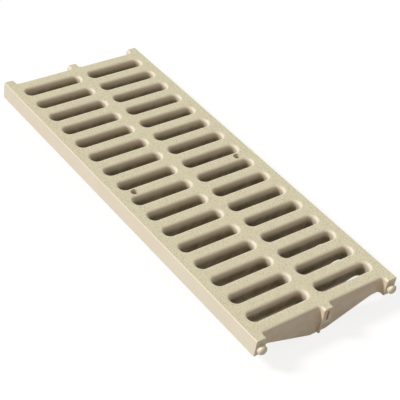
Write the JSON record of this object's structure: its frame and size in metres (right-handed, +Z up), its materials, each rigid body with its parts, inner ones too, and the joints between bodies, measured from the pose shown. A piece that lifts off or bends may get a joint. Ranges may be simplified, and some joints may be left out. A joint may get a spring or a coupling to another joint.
{
  "type": "channel drain grate",
  "caption": "Slotted moulded grate section for a drainage channel, with side rails, a centre beam, V shaped ribs below, joining pins and hold-down screw holes.",
  "frame": {"origin": "middle of the walking face: the grate hangs below it, as it lies flush in its channel", "axes": "+X along the channel towards the two joining pins, +Y across the channel, +Z up out of the walking face"},
  "size_m": [0.506, 0.195, 0.041],
  "materials": {
    "moulded_plastic": "matte, sand coloured, finely mottled on the walking face"
  },
  "bodies": {
    "root": {"grate": "moulded_plastic"}
  },
  "joints": []
}
